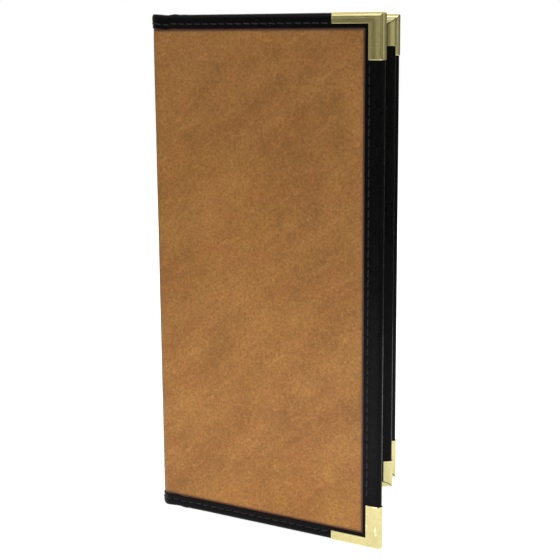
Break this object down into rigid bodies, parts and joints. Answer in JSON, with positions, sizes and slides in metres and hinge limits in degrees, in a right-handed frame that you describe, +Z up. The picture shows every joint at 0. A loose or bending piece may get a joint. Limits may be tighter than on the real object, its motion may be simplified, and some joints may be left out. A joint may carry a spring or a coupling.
{
  "type": "menu cover",
  "caption": "Tall stitched booklet menu cover: leather-look covers and a bound middle leaf on a rounded spine, black edge binding, brass corners, clear inner pockets",
  "frame": {"origin": "under the middle of the standing cover's bounding box, on the surface it stands on", "axes": "+Z up along the spine, +X from the spine towards the free edges, +Y from the front cover towards the back cover"},
  "size_m": [0.1494, 0.126, 0.3],
  "materials": {
    "leather": "satin",
    "binding": "satin",
    "thread": "matte",
    "lining": "matte",
    "board": "matte",
    "film": "gloss",
    "brass": "polished"
  },
  "bodies": {
    "spine": {"spine_bottom_binding": "binding", "spine_leaf_strip": "lining", "spine_leather": "leather", "spine_lining": "lining", "spine_stitching": "thread", "spine_top_binding": "binding"},
    "front_cover": {"front_board": "board", "front_bottom_binding": "binding", "front_bottom_corner": "brass", "front_leather": "leather", "front_lining": "lining", "front_pocket": "film", "front_side_binding": "binding", "front_stitching": "thread", "front_top_binding": "binding", "front_top_corner": "brass"},
    "middle_leaf": {"middle_bottom_binding": "binding", "middle_bottom_corner": "brass", "middle_core": "lining", "middle_front_pocket": "film", "middle_hinge_tab": "lining", "middle_rear_pocket": "film", "middle_side_binding": "binding", "middle_stitching": "thread", "middle_top_binding": "binding", "middle_top_corner": "brass"},
    "back_cover": {"back_board": "board", "back_bottom_binding": "binding", "back_bottom_corner": "brass", "back_leather": "leather", "back_lining": "lining", "back_pocket": "film", "back_side_binding": "binding", "back_stitching": "thread", "back_top_binding": "binding", "back_top_corner": "brass"}
  },
  "joints": [
    {"name": "front_hinge", "type": "hinge", "parent": "spine", "child": "front_cover", "pos_m": [-0.06981, 0.01137, 0.15], "axis": [0, 0, 1], "range_deg": [-120, 37]},
    {"name": "back_hinge", "type": "hinge", "parent": "spine", "child": "back_cover", "pos_m": [-0.06523, 0.02448, 0.15], "axis": [0, 0, 1], "range_deg": [-7.5, 120]},
    {"name": "leaf_hinge", "type": "hinge", "parent": "spine", "child": "middle_leaf", "pos_m": [-0.07077, 0.01749, 0.15], "axis": [0, 0, 1], "range_deg": [-0.75, 12]}
  ],
  "couplings": [
    {"joint": "leaf_hinge", "follows": "back_hinge", "ratio": 0.1}
  ]
}
